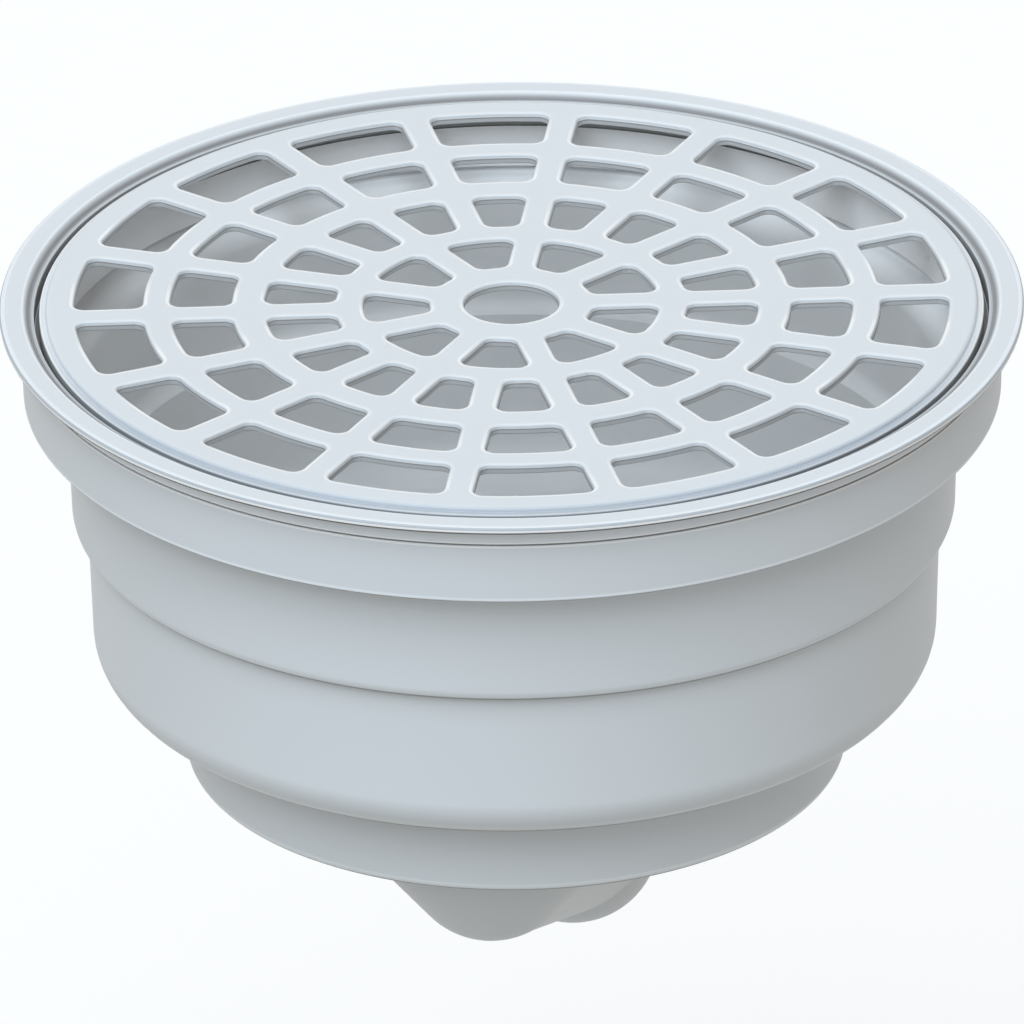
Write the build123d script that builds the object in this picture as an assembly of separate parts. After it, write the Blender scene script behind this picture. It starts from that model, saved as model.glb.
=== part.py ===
from build123d import *
import os
from math import asin, cos, pi, radians, sin, tan

# A round floor gully trap in white uPVC, in millimetres. The origin is at the centre of the flange's
# top face, +Z points up out of the floor, and the waste pipe leaves along +Y.

# Walls, clearances and small rounds that the mouldings share
bowl_wall = 3.0
tube_wall = 2.8
joint_clearance = 0.1
draft_angle = 2.0
edge_round = 0.4
joint_round = 0.25
overshoot = 5.0

# Grating: a flush perforated plate with a skirt round its rim. Its rings of holes are given from the
# centre outwards, each by the solid bar inside it, the length of its holes and their number.
plate_thickness = 2.0
grating_depth = 5.0
skirt_wall = 2.0
rim_ledge_width = 1.2
rim_ledge_drop = 1.0
rim_shoulder_round = 0.8
spoke_width = 5.7
hole_corner_radius = 2.2
hole_edge_chamfer = 0.4
hole_corner_share = 0.45
centre_hole_radius = 9.3
ring_bar_widths = [6.7, 5.5, 6.4, 5.4]
ring_hole_lengths = [12.9, 13.8, 12.0, 13.4]
ring_counts = [9, 18, 18, 18]
ring_start_angles = [0.0, 10.0, 10.0, 10.0]
rim_width = 6.8

# Top frame: flange, mouth and the ledge that carries the grating
flange_overhang = 4.1
flange_thickness = 1.6
flange_edge_round = 0.6
grating_gap = 1.0
frame_wall = 2.7
mouth_slope_run = 1.0
mouth_slope_drop = 1.2
mouth_ledge_width = 1.1
seat_thickness = 0.9
spigot_wall = 2.7
spigot_end_gap = 1.5

# Bowl: four bands, each stepped in from the top of the one above
band_2_inset = 8.7
band_3_inset = 3.8
band_4_inset = 18.2
band_1_height = 12.5
band_2_height = 26.3
band_3_height = 33.0
band_4_height = 19.2
band_2_foot_round = 2.7
band_3_foot_round = 9.2
band_4_foot_round = 2.5
inner_corner_round = 0.8

# Tailpiece under the bowl's floor, towards the front of the bowl
tailpiece_offset = 17.4
tailpiece_radius = 24.0
tailpiece_wall = 2.6
tailpiece_length = 7.1

# Trap bend: a funnel with a round nose, a sloping neck, a heel and a level run
inlet_socket_wall = 2.9
tube_radius = 17.0
nose_swell = 0.2
neck_swell = 0.1
funnel_collar = 2.0
funnel_half_angle = 39.4
neck_reach = 54.2
neck_drop = 19.7
heel_drop = 2.6

# Outlet fitting, one moulding kept as four plain solids that meet face to face: a socket on the run
# with a quarter bend up, the riser behind the bowl, a quarter bend back to level, and the pipe socket
run_socket_length = 18.0
run_socket_wall = 2.8
bend_radius = 24.0
riser_gap = 0.6
seal_depth = 50.0
pipe_radius = 16.0
pipe_socket_length = 24.0
pipe_socket_wall = 2.9
socket_approach = 2.0
socket_taper_length = 4.0

grating_radius = centre_hole_radius + sum(ring_bar_widths) + sum(ring_hole_lengths) + rim_width
frame_bore_radius = grating_radius + grating_gap
collar_radius = frame_bore_radius + frame_wall
collar_depth = grating_depth + seat_thickness
flange_radius = collar_radius + flange_overhang
bowl_mouth_radius = collar_radius - bowl_wall
spigot_radius = bowl_mouth_radius - joint_clearance
spigot_bore_radius = spigot_radius - spigot_wall
spigot_length = band_1_height - bowl_wall - spigot_end_gap
band_2_radius = collar_radius - band_2_inset
band_3_radius = band_2_radius - band_3_inset
band_4_radius = band_3_radius - band_4_inset
band_1_foot = collar_depth + band_1_height
band_2_foot = band_1_foot + band_2_height
band_3_foot = band_2_foot + band_3_height
band_4_foot = band_3_foot + band_4_height
tube_bore = tube_radius - tube_wall
inlet_socket_bore = tailpiece_radius + joint_clearance
inlet_socket_radius = inlet_socket_bore + inlet_socket_wall
inlet_shoulder_depth = band_4_foot + tailpiece_length + joint_clearance
nose_radius = tube_radius + nose_swell
funnel_slope = radians(funnel_half_angle)
cone_length = (inlet_socket_radius - nose_radius * cos(funnel_slope)) / tan(funnel_slope)
nose_depth = inlet_shoulder_depth + funnel_collar + cone_length - nose_radius * sin(funnel_slope)
neck_end_y = neck_reach - tailpiece_offset
neck_end_depth = nose_depth + neck_drop
heel_depth = neck_end_depth + heel_drop
riser_y = band_3_radius + riser_gap + tube_radius
run_end_y = riser_y - bend_radius - socket_approach
run_socket_bore = tube_radius + joint_clearance
run_socket_radius = run_socket_bore + run_socket_wall
pipe_socket_bore = pipe_radius + joint_clearance
pipe_socket_radius = pipe_socket_bore + pipe_socket_wall
weir_depth = heel_depth - tube_bore - seal_depth
outlet_depth = weir_depth - tube_bore
riser_foot = bend_radius - heel_depth
riser_top = -bend_radius - outlet_depth
outlet_turn_y = riser_y + bend_radius
hanging = (Align.CENTER, Align.CENTER, Align.MAX)
standing = (Align.CENTER, Align.CENTER, Align.MIN)


def turned(*corners, rounds=None):
    """Revolve a closed outline of (radius, height) corners, with rounds at the numbered corners."""
    outline = make_face(Polyline(*[(r, 0, z) for r, z in corners], close=True))
    for corner, radius in (rounds or {}).items():
        r, z = corners[corner]
        outline = fillet(outline.vertices().sort_by_distance((r, 0, z))[0], radius)
    return revolve(outline, Axis.Z)


def ring_hole(inner, outer, count):
    """One grating hole about the +X direction, between two spokes of equal width."""
    ring = Circle(outer) - Circle(inner)
    for side in (-1, 1):
        spoke = Pos(outer / 2, 0) * Rectangle(outer + overshoot, spoke_width)
        ring -= Rot(0, 0, side * 180 / count) * spoke
    hole = Face(ring.faces().sort_by(SortBy.AREA)[0].outer_wire())
    narrow_end = 2 * inner * sin(pi / count - asin(spoke_width / (2 * inner)))
    corner_radius = min(hole_corner_radius, hole_corner_share * narrow_end)
    return hole.fillet_2d(corner_radius, hole.vertices())


def make_grating():
    """The plate and its skirt, pierced by a centre hole and rings of holes with eased top edges."""
    plateau_radius = grating_radius - rim_ledge_width
    skirt_bore = grating_radius - skirt_wall
    plate = turned(
        (0, 0), (plateau_radius, 0), (plateau_radius, -rim_ledge_drop), (grating_radius, -rim_ledge_drop),
        (grating_radius, -grating_depth), (skirt_bore, -grating_depth), (skirt_bore, -plate_thickness),
        (0, -plate_thickness),
        rounds={1: rim_shoulder_round, 3: edge_round, 6: edge_round},
    )
    holes = Sketch() + Circle(centre_hole_radius)
    outer = centre_hole_radius
    rings = zip(ring_bar_widths, ring_hole_lengths, ring_counts, ring_start_angles)
    for bar, length, count, start in rings:
        inner = outer + bar
        outer = inner + length
        holes += PolarLocations(0, count, start_angle=start) * ring_hole(inner, outer, count)
    plate -= extrude(holes, -plate_thickness)
    top_edges = plate.faces().sort_by(Axis.Z)[-1].inner_wires().edges()
    return chamfer(top_edges, hole_edge_chamfer)


def make_top_frame():
    """The flange, the sloped mouth, the grating's seat and the spigot that stands in the bowl."""
    mouth_ledge_radius = frame_bore_radius + mouth_ledge_width
    return turned(
        (mouth_ledge_radius + mouth_slope_run, 0), (flange_radius, 0), (flange_radius, -flange_thickness),
        (collar_radius, -flange_thickness), (collar_radius, -collar_depth), (spigot_radius, -collar_depth),
        (spigot_radius, -collar_depth - spigot_length), (spigot_bore_radius, -collar_depth - spigot_length),
        (spigot_bore_radius, -grating_depth), (frame_bore_radius, -grating_depth),
        (frame_bore_radius, -mouth_slope_drop), (mouth_ledge_radius, -mouth_slope_drop),
        rounds={0: edge_round, 1: flange_edge_round, 3: edge_round, 4: joint_round, 7: edge_round},
    )


def band_foot(radius, top, bottom):
    """Radius at the foot of a band, drawn in from its top by the moulding's draft."""
    return radius - (bottom - top) * tan(radians(draft_angle))


def bowl_shape(inset, mouth_depth, band_1_foot_radius):
    """The stepped form of the bowl, drawn in by the inset all over for its hollow."""
    band_2_foot_radius = band_foot(band_2_radius, band_1_foot, band_2_foot) - inset
    band_3_foot_radius = band_foot(band_3_radius, band_2_foot, band_3_foot) - inset
    band_4_foot_radius = band_foot(band_4_radius, band_3_foot, band_4_foot) - inset
    return turned(
        (0, -mouth_depth), (collar_radius - inset, -mouth_depth),
        (band_1_foot_radius, inset - band_1_foot), (band_2_radius - inset, inset - band_1_foot),
        (band_2_foot_radius, inset - band_2_foot), (band_3_radius - inset, inset - band_2_foot),
        (band_3_foot_radius, inset - band_3_foot), (band_4_radius - inset, inset - band_3_foot),
        (band_4_foot_radius, inset - band_4_foot), (0, inset - band_4_foot),
        rounds={
            1: joint_round,
            2: edge_round,
            4: max(band_2_foot_round - inset, inner_corner_round),
            6: max(band_3_foot_round - inset, inner_corner_round),
            8: max(band_4_foot_round - inset, inner_corner_round),
        },
    )


def make_bowl():
    """The bowl with an even wall, and the tailpiece under its floor."""
    tail = Pos(0, -tailpiece_offset, -band_4_foot)
    band_1_foot_radius = band_foot(collar_radius, collar_depth, band_1_foot)
    bowl = bowl_shape(0, collar_depth, band_1_foot_radius)
    bowl += tail * Cylinder(tailpiece_radius, tailpiece_length, align=hanging)
    bowl -= bowl_shape(bowl_wall, collar_depth - overshoot, bowl_mouth_radius)
    bore_length = bowl_wall + tailpiece_length + 2 * overshoot
    return bowl - tail * Pos(0, 0, bowl_wall + overshoot) * Cylinder(
        tailpiece_radius - tailpiece_wall, bore_length, align=hanging)


def tube_between(start_y, start_depth, end_y, end_depth, radius):
    """A round bar in the trap's middle plane, between two points given as (y, depth)."""
    start = Vector(0, start_y, -start_depth)
    reach = Vector(0, end_y, -end_depth) - start
    return extrude(Plane(start, z_dir=reach) * Circle(radius), reach.length)


def funnel(inset):
    """The round-nosed funnel, drawn in by the inset, up to the level of the inlet socket's shoulder."""
    ball = nose_radius - inset
    touch_radius = ball * cos(funnel_slope)
    touch_depth = nose_depth + ball * sin(funnel_slope)
    mouth_radius = inlet_socket_radius - inset / cos(funnel_slope)
    mouth_depth = touch_depth - (mouth_radius - touch_radius) / tan(funnel_slope)
    outline = Polyline(
        (touch_radius, 0, -touch_depth), (mouth_radius, 0, -mouth_depth),
        (mouth_radius, 0, -inlet_shoulder_depth), (0, 0, -inlet_shoulder_depth), (0, 0, -nose_depth - ball))
    halfway = radians(90 + funnel_half_angle) / 2
    nose = ThreePointArc(
        (0, 0, -nose_depth - ball), (ball * cos(halfway), 0, -nose_depth - ball * sin(halfway)),
        (touch_radius, 0, -touch_depth))
    return Pos(0, -tailpiece_offset, 0) * revolve(make_face(outline.edges() + nose.edges()), Axis.Z)


def passage(inset, run_end):
    """Funnel, neck, heel and run together, drawn in by the inset for the waterway."""
    radius = tube_radius - inset
    heel = Pos(0, neck_end_y, -heel_depth) * Sphere(nose_radius - inset)
    neck_end = Pos(0, neck_end_y, -neck_end_depth) * Sphere(radius + neck_swell)
    neck = tube_between(-tailpiece_offset, nose_depth, neck_end_y, neck_end_depth, radius)
    run = tube_between(neck_end_y, heel_depth, run_end, heel_depth, radius)
    return funnel(inset) + neck + neck_end + heel + run


def make_trap_bend():
    """The funnel's socket takes the bowl's tailpiece, and the run's end is a plain spigot."""
    inlet = Pos(0, -tailpiece_offset, -band_4_foot)
    socket_depth = inlet_shoulder_depth - band_4_foot
    body = passage(0, run_end_y) + inlet * Cylinder(inlet_socket_radius, socket_depth, align=hanging)
    body -= inlet * Pos(0, 0, 2 * overshoot) * Cylinder(
        inlet_socket_bore, socket_depth + 2 * overshoot, align=hanging)
    return body - passage(tube_wall, run_end_y + overshoot)


def quarter_bend(plane, pivot, angle, radius):
    """A round bar bent through a quarter turn about a pivot given as (y, height)."""
    return revolve(plane * Circle(radius), Axis((0, *pivot), (1, 0, 0)), angle)


def make_foot_bend():
    """The socket that takes the trap's run, and the quarter bend from it up to the riser."""
    low = run_end_y + joint_clearance
    turn_y = riser_y - bend_radius
    start = Plane((0, turn_y, -heel_depth), z_dir=(0, 1, 0))
    pivot = (turn_y, riser_foot)
    body = quarter_bend(start, pivot, 90, tube_radius)
    body += tube_between(run_end_y - run_socket_length, heel_depth, turn_y, heel_depth, tube_radius)
    body += tube_between(
        run_end_y - run_socket_length, heel_depth, low + run_socket_wall, heel_depth, run_socket_radius)
    body -= quarter_bend(start, pivot, 90, tube_bore)
    body -= tube_between(low - overshoot, heel_depth, turn_y, heel_depth, tube_bore)
    return body - tube_between(
        run_end_y - run_socket_length - overshoot, heel_depth, low, heel_depth, run_socket_bore)


def make_riser():
    """The upright tube between the two quarter bends."""
    foot = Pos(0, riser_y, riser_foot)
    length = riser_top - riser_foot
    return foot * Cylinder(tube_radius, length, align=standing) - foot * Cylinder(
        tube_bore, length, align=standing)


def make_outlet_bend():
    """The quarter bend from the riser back to level."""
    start = Plane((0, riser_y, riser_top), z_dir=(0, 0, 1))
    pivot = (outlet_turn_y, riser_top)
    return quarter_bend(start, pivot, -90, tube_radius) - quarter_bend(start, pivot, -90, tube_bore)


def make_pipe_socket():
    """The taper out of the quarter bend, and the socket that takes the waste pipe up to its stop."""
    taper_y = outlet_turn_y + socket_approach
    stop_y = taper_y + socket_taper_length
    end_y = stop_y + pipe_socket_length
    taper = Plane((0, taper_y, -outlet_depth), z_dir=(0, 1, 0))
    body = tube_between(outlet_turn_y, outlet_depth, taper_y, outlet_depth, tube_radius)
    body += taper * Cone(tube_radius, pipe_socket_radius, socket_taper_length, align=standing)
    body += tube_between(stop_y, outlet_depth, end_y, outlet_depth, pipe_socket_radius)
    body -= tube_between(outlet_turn_y, outlet_depth, stop_y, outlet_depth, tube_bore)
    return body - tube_between(stop_y, outlet_depth, end_y + overshoot, outlet_depth, pipe_socket_bore)


makers = {
    "grating": make_grating,
    "top_frame": make_top_frame,
    "bowl": make_bowl,
    "trap_bend": make_trap_bend,
    "foot_bend": make_foot_bend,
    "riser": make_riser,
    "outlet_bend": make_outlet_bend,
    "pipe_socket": make_pipe_socket,
}

os.makedirs("parts", exist_ok=True)
for node, make in makers.items():
    export_step(make(), f"parts/{node}.step")
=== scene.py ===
# %% [markdown]
# A round floor gully trap: a flush grating with four rings of slots, the flanged frame that it drops into,
# the stepped bowl that hangs from the frame, and the water-seal bend under the bowl. The construction
# comes from the imported model, and this script gives each of its five mouldings a finely rounded mesh and
# a satin white plastic. Every size below is in millimetres, and the meshes are brought to metres
# at the end.

# %% Load the frame and keep its box
from math import asin, atan2, cos, pi, radians, sin, tan

import bmesh
import bpy
from mathutils import Matrix, Vector


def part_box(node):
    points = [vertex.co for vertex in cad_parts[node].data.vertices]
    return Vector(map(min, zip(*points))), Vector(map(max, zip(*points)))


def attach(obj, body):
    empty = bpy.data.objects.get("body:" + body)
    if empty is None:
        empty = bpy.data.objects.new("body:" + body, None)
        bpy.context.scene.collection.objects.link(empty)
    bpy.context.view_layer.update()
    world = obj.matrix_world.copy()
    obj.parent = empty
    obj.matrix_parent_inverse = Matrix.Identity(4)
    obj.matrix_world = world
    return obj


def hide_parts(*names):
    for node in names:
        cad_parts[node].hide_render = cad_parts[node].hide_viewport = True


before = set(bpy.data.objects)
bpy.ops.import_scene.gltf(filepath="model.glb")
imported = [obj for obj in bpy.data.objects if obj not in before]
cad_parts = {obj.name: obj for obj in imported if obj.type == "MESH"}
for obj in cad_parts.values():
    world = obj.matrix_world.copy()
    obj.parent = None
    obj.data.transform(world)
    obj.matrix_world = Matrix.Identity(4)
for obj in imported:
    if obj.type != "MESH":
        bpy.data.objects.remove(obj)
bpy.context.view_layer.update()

MM = 0.001
print("nodes:", sorted(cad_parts))


# %% [markdown]
# The camera comes first, because it decides how much detail each face needs. The picture was taken from
# far away with a long lens, so verticals stay upright and near and far slots have nearly the same scale.
# It looks down on the flange at about 26 degrees, from a little to the right of the outlet's plane.

# %% Camera
PICTURE_WIDTH = 1024
SENSOR_WIDTH = 36.0
view_azimuth = radians(17.3)
view_elevation = radians(26.17)
view_roll = radians(-0.63)
view_distance = 8.0
pixels_per_mm = 5.1123
aim_right = -0.34 * MM
aim_height = -45.6 * MM


def make_camera():
    """A far camera with a long lens, aimed by azimuth, elevation and roll."""
    right = Vector((cos(view_azimuth), sin(view_azimuth), 0))
    back = Vector((sin(view_azimuth) * cos(view_elevation), -cos(view_azimuth) * cos(view_elevation),
                   sin(view_elevation)))
    up = back.cross(right)
    rolled_right = cos(view_roll) * right + sin(view_roll) * up
    rolled_up = cos(view_roll) * up - sin(view_roll) * right
    aim = aim_right * right + Vector((0, 0, aim_height))
    data = bpy.data.cameras.new("camera")
    data.sensor_width = SENSOR_WIDTH
    data.lens = pixels_per_mm / MM * view_distance * SENSOR_WIDTH / PICTURE_WIDTH
    data.clip_end = 4 * view_distance
    camera = bpy.data.objects.new("camera", data)
    turned = Matrix((rolled_right, rolled_up, back)).transposed().to_4x4()
    camera.matrix_world = Matrix.Translation(aim + view_distance * back) @ turned
    bpy.context.collection.objects.link(camera)
    bpy.context.scene.camera = camera
    return camera


camera = make_camera()
print("lens, mm:", round(camera.data.lens, 1))


# %% [markdown]
# All five pieces are one material on the real object, a white uPVC that leaves the mould with a satin
# skin. A flat colour would look like paper, so the colour drifts a little from place to place, the gloss
# varies with it, and two bump layers give the slow sink of thick plastic and the fine grain of the skin.
# All of it reads Object coordinates, so the pattern stays on the piece in every view.

# %% Node helpers
def add_math(tree, operation, *values):
    """A Math node whose inputs are numbers or sockets. Returns its result."""
    node = tree.nodes.new("ShaderNodeMath")
    node.operation = operation
    for socket, value in zip(node.inputs, values):
        if isinstance(value, bpy.types.NodeSocket):
            tree.links.new(value, socket)
        else:
            socket.default_value = value
    return node.outputs["Value"]


def add_noise(tree, place, size, detail):
    """Noise with lumps of the given size in millimetres. Returns its factor."""
    texture = tree.nodes.new("ShaderNodeTexNoise")
    texture.inputs["Scale"].default_value = 1 / (size * MM)
    texture.inputs["Detail"].default_value = detail
    tree.links.new(place, texture.inputs["Vector"])
    return texture.outputs["Fac"]


def add_range(tree, value, low, high, from_low=0.0, from_high=1.0):
    """Bring a value from one range to another. Returns the result."""
    node = tree.nodes.new("ShaderNodeMapRange")
    for name, number in (("From Min", from_low), ("From Max", from_high), ("To Min", low), ("To Max", high)):
        node.inputs[name].default_value = number
    tree.links.new(value, node.inputs["Value"])
    return node.outputs["Result"]


def add_bump(tree, height, distance, below=None):
    """A bump layer over the one below. Returns its normal."""
    node = tree.nodes.new("ShaderNodeBump")
    node.inputs["Distance"].default_value = distance * MM
    tree.links.new(height, node.inputs["Height"])
    if below:
        tree.links.new(below, node.inputs["Normal"])
    return node.outputs["Normal"]


# %% [markdown]
# The colour carries painted highlights on rounded edges and painted shade in joints, under edges and in
# recesses. Both follow the object's heights here, since every rim and joint runs level round the axis.
# So a tone is laid by height with a Color Ramp, inside one band of radii, which keeps a rim apart from a
# wall at the same height. A flat tone would lose these fine lines.

# %% Tones by height
FADE_START, FADE_END = 0.1, 0.6


def multiply(tree, below, tone, factor):
    """Multiply the colour below by a tone, as far as the factor says."""
    mix = tree.nodes.new("ShaderNodeMix")
    mix.data_type = "RGBA"
    mix.blend_type = "MULTIPLY"
    tree.links.new(factor, mix.inputs["Factor"])
    tree.links.new(below, mix.inputs["A"])
    if isinstance(tone, bpy.types.NodeSocket):
        tree.links.new(tone, mix.inputs["B"])
    else:
        mix.inputs["B"].default_value = (*tone, 1)
    return mix.outputs["Result"]


def height_tones(tree, place, below, zone):
    """Multiply the colour below by tones that are given by height, between two radii.

    A zone may end with an angle about Z, and then it fades out a quarter turn from there.
    """
    inner, outer, tones, *towards = zone
    split = tree.nodes.new("ShaderNodeSeparateXYZ")
    tree.links.new(place, split.inputs["Vector"])
    x, y, z = (split.outputs[axis] for axis in "XYZ")
    radius = add_math(tree, "SQRT", add_math(tree, "ADD", add_math(tree, "MULTIPLY", x, x),
                                             add_math(tree, "MULTIPLY", y, y)))
    inside = add_math(tree, "MULTIPLY", add_math(tree, "GREATER_THAN", radius, inner * MM),
                      add_math(tree, "LESS_THAN", radius, outer * MM))
    for angle in towards:
        ahead = add_math(tree, "ADD", add_math(tree, "MULTIPLY", x, cos(angle)),
                         add_math(tree, "MULTIPLY", y, sin(angle)))
        turned = add_math(tree, "DIVIDE", ahead, radius)
        inside = add_math(tree, "MULTIPLY", inside, add_range(tree, turned, 0, 1, FADE_START, FADE_END))
    lowest, highest = tones[0][0], tones[-1][0]
    ramp = tree.nodes.new("ShaderNodeValToRGB")
    tree.links.new(add_range(tree, z, 0, 1, lowest * MM, highest * MM), ramp.inputs["Fac"])
    stops = ramp.color_ramp.elements
    for _ in tones[2:]:  # a new ramp has two stops
        stops.new(0.5)
    for stop, (height, tone) in zip(stops, tones):
        stop.position = (height - lowest) / (highest - lowest)
        stop.color = (*tone, 1)
    return multiply(tree, below, ramp.outputs["Color"], inside)


# %% [markdown]
# The tones themselves are few. They multiply the plastic's colour, so plain leaves it alone, the two
# lighter tones lighten it as painted highlights, and the others darken it as painted shade. The slots'
# rims lie level with the plate, where heights can't tell them apart, so the mesh marks them with a vertex
# attribute that the material reads, for a painted highlight. The painted light isn't alike all round: it
# is strongest on one side, given as an angle about Z, the side towards the camera.

# %% Tones and painted rim highlights
HIGHLIGHT_ATTRIBUTE = "strong_highlight"
# plain leaves the colour alone; the next two are painted highlights
plain, soft_highlight, strong_highlight = (1.0, 1.0, 1.0), (1.12, 1.12, 1.12), (1.26, 1.21, 1.17)
# these three and the next three are painted shade under edges, in joints and in recesses
faint_shade, mid_shade, dark_shade = (0.66, 0.67, 0.69), (0.45, 0.42, 0.39), (0.12, 0.11, 0.10)
shaded, deep_shade, crease_shade = (0.62, 0.62, 0.62), (0.35, 0.34, 0.34), (0.6, 0.59, 0.58)
# the side towards the camera, where the painted shade and highlights are strongest
painted_light_side = radians(-73)


def painted_rim_highlights(tree, below):
    """Lighten the colour below with a painted highlight where the mesh marks a rim."""
    mark = tree.nodes.new("ShaderNodeAttribute")
    mark.attribute_name = HIGHLIGHT_ATTRIBUTE
    return multiply(tree, below, strong_highlight, mark.outputs["Fac"])


# %% [markdown]
# One function makes every plastic. Slow noise drifts the tone and stands for the sink of a thick wall,
# and fine noise varies the gloss and gives the grain. It then lays the zones of painted highlight and
# shade, and the painted rim highlights. Only the tone, the gloss and the zones differ between the
# mouldings: the tones because they come from different tools and have aged differently, the zones
# because each has its own painted light.

# %% Satin plastic
waviness_size = 45.0
grain_size = 0.9
waviness_height = 0.05
grain_height = 0.004
plastic_ior = 1.5
plastic_specular = 0.35
tone_drift = 0.012
gloss_drift = 0.06


def satin_plastic(name, tone, roughness, zones=()):
    """A white plastic whose tone and gloss drift slightly, with slow and fine bump."""
    material = bpy.data.materials.new(name)
    material.use_nodes = True
    tree = material.node_tree
    shader = tree.nodes["Principled BSDF"]
    place = tree.nodes.new("ShaderNodeTexCoord").outputs["Object"]
    slow = add_noise(tree, place, waviness_size, detail=2)
    fine = add_noise(tree, place, grain_size, detail=3)
    tint = tree.nodes.new("ShaderNodeVectorMath")
    tint.operation = "SCALE"
    tint.inputs[0].default_value = tone
    tree.links.new(add_range(tree, slow, 1 - tone_drift, 1 + tone_drift), tint.inputs["Scale"])
    colour = tint.outputs["Vector"]
    # zones of painted highlight and shade, then a painted highlight on marked rims
    for zone in zones:
        colour = height_tones(tree, place, colour, zone)
    colour = painted_rim_highlights(tree, colour)
    tree.links.new(colour, shader.inputs["Base Color"])
    gloss = add_range(tree, fine, roughness - gloss_drift, roughness + gloss_drift)
    tree.links.new(gloss, shader.inputs["Roughness"])
    sink = add_bump(tree, slow, waviness_height)
    tree.links.new(add_bump(tree, fine, grain_height, sink), shader.inputs["Normal"])
    shader.inputs["IOR"].default_value = plastic_ior
    shader.inputs["Specular IOR Level"].default_value = plastic_specular
    return material


# a paler copy of the plastic for the bowl's upward inner faces, which paints light on them
brightened_inside_plastic = satin_plastic("bowl_inside_brightened_plastic", (0.90, 0.905, 0.91), 0.45)
bend_plastic = satin_plastic("bend_plastic", (0.76, 0.78, 0.80), 0.45)
print("plain plastics:", [m.name for m in bpy.data.materials])


# %% [markdown]
# The frame, the bowl and the rim of the grating are turned shapes, so each starts as a flat outline in
# the XZ plane. Its corners are rounded by a vertex bevel before it is spun, which costs one bevel on a
# few points instead of a bevel on hundreds of edges. A bevel sets back along both edges, so the set-back
# for a wanted radius comes from the corner's angle.

# %% Outline and lathe helpers
TURN_STEPS = 240
ROUND_STEPS = 5
LARGE_ROUND = 2.0
MERGE_DISTANCE = 0.0005
CREASE_ANGLE = radians(40)
UPWARD = 0.01  # least upward part of the normal of a face inside an open piece, drafted walls too


def rounded_outline(corners):
    """A bmesh holding one flat face in XZ. Each corner is a radius, a height and its round, or 0."""
    bm = bmesh.new()
    verts = [bm.verts.new((radius, 0, height)) for radius, height, _ in corners]
    bm.faces.new(verts)
    places = [Vector((radius, height)) for radius, height, _ in corners]
    for corner, (_, _, rounding) in enumerate(corners):
        if not rounding:
            continue
        before = places[corner - 1] - places[corner]
        after = places[(corner + 1) % len(corners)] - places[corner]
        set_back = rounding / tan(before.angle(after) / 2)
        steps = ROUND_STEPS if rounding < LARGE_ROUND else 2 * ROUND_STEPS
        bmesh.ops.bevel(bm, geom=[verts[corner]], offset=set_back, offset_type="OFFSET",
                        affect="VERTICES", segments=steps, profile=0.5, material=-1)
    return bm


def spin_round(bm, steps=TURN_STEPS):
    """Turn the outline's edges a full turn about Z and close the seam."""
    bmesh.ops.delete(bm, geom=bm.faces[:], context="FACES_ONLY")
    bmesh.ops.spin(bm, geom=bm.verts[:] + bm.edges[:], cent=(0, 0, 0), axis=(0, 0, 1), angle=2 * pi,
                   steps=steps, use_merge=True)
    bmesh.ops.remove_doubles(bm, verts=bm.verts[:], dist=MERGE_DISTANCE)
    return bm


def open_edges_at(bm, height):
    """The boundary edges at one height."""
    return [edge for edge in bm.edges if edge.is_boundary
            and all(abs(vert.co.z - height) < MERGE_DISTANCE for vert in edge.verts)]


def level_circle(bm, radius, height, offset=0, segments=TURN_STEPS):
    """A level circle of edges, whose centre may lie off the axis."""
    known = set(bm.edges)
    bmesh.ops.create_circle(bm, segments=segments, radius=radius,
                            matrix=Matrix.Translation((0, offset, height)))
    return [edge for edge in bm.edges if edge not in known]


def extrude_ring(bm, edges):
    """Extrude a ring of edges in place. Returns the new ring's vertices and edges."""
    made = bmesh.ops.extrude_edge_only(bm, edges=edges)["geom"]
    verts = [g for g in made if isinstance(g, bmesh.types.BMVert)]
    return verts, [g for g in made if isinstance(g, bmesh.types.BMEdge) and all(v in verts for v in g.verts)]


def finish_piece(bm, name, nodes, material, inside=None):
    """Bring the bmesh to metres, shade it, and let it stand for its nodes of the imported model.

    Where an inside material is given, the faces that look up get it.
    """
    bmesh.ops.scale(bm, vec=(MM, MM, MM), verts=bm.verts[:])
    bmesh.ops.recalc_face_normals(bm, faces=bm.faces[:])
    for face in bm.faces:
        face.smooth = True
    open_edges = sum(not edge.is_manifold for edge in bm.edges)
    mesh = bpy.data.meshes.new(name)
    bm.to_mesh(mesh)
    bm.free()
    mesh.set_sharp_from_angle(angle=CREASE_ANGLE)
    mesh.materials.append(material)
    if inside:
        mesh.materials.append(inside)
        for face in mesh.polygons:
            face.material_index = int(face.normal.z > UPWARD)
    piece = bpy.data.objects.new(name, mesh)
    bpy.context.collection.objects.link(piece)
    weighted = piece.modifiers.new("weighted_normals", "WEIGHTED_NORMAL")
    weighted.keep_sharp = True
    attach(piece, "root")
    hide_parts(*nodes)
    mesh.calc_loop_triangles()
    print(name, "triangles:", len(mesh.loop_triangles), "open edges:", open_edges)
    return piece


# %% [markdown]
# The frame is one moulding: a thin flange that lies on the floor finish, a sloped mouth, a small ledge, a
# deep bore with the seat that carries the grating, and a spigot below that stands in the bowl. Every
# edge that shows gets its own radius, because the bright lines that run round the rim in the picture are
# the highlights on those rounds.

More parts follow.
